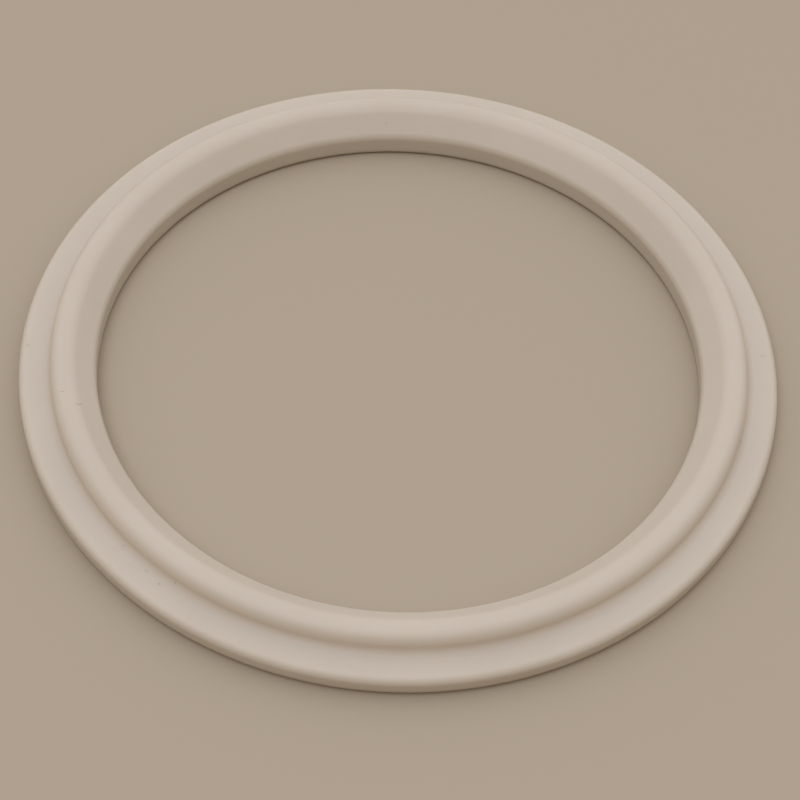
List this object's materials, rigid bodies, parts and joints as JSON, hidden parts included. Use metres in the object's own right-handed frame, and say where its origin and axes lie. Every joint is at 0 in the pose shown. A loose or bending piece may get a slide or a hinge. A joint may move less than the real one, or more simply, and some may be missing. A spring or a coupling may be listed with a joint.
{
  "type": "sight glass gasket",
  "caption": "Stepped round gasket: a flat outer flange with a raised hub that enters the glass tube, and a chamfered mouth leading down to a straight flow bore.",
  "frame": {"origin": "centre of the ring on its flat underside", "axes": "+Z along the flow axis, from the flat underside towards the hub and the glass tube; the ring is the same all round, so +X and +Y are free"},
  "size_m": [0.12, 0.12, 0.0076],
  "materials": {
    "silicone": "moulded matt to satin off-white silicone rubber"
  },
  "bodies": {
    "root": {"gasket_ring": "silicone"}
  },
  "joints": []
}
